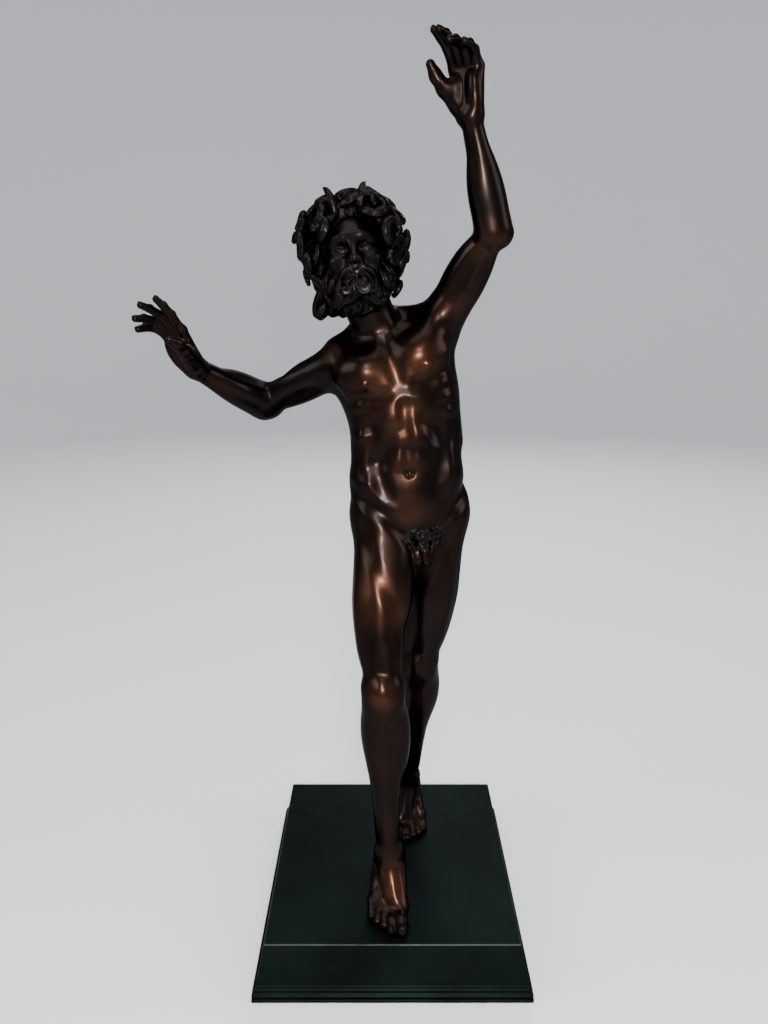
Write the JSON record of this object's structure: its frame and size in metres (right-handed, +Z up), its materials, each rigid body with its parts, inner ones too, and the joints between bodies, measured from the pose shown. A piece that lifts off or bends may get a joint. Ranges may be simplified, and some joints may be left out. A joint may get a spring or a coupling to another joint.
{
  "type": "bronze faun statuette",
  "caption": "Cast bronze statuette of a dancing faun on a moulded rectangular plinth, for display on a table or shelf.",
  "frame": {"origin": "centre of the plinth's underside", "axes": "+Z up along the figure, -Y the way it faces, +X towards its left"},
  "size_m": [0.3273, 0.2614, 0.7727],
  "materials": {
    "figure_bronze": "cast bronze with a dark red-brown to black patina, glossy, rubbed to warm copper on the high places",
    "plinth_bronze": "cast bronze with a black-green patina, satin"
  },
  "bodies": {
    "root": {"plinth": "plinth_bronze", "faun_figure": "figure_bronze"}
  },
  "joints": []
}
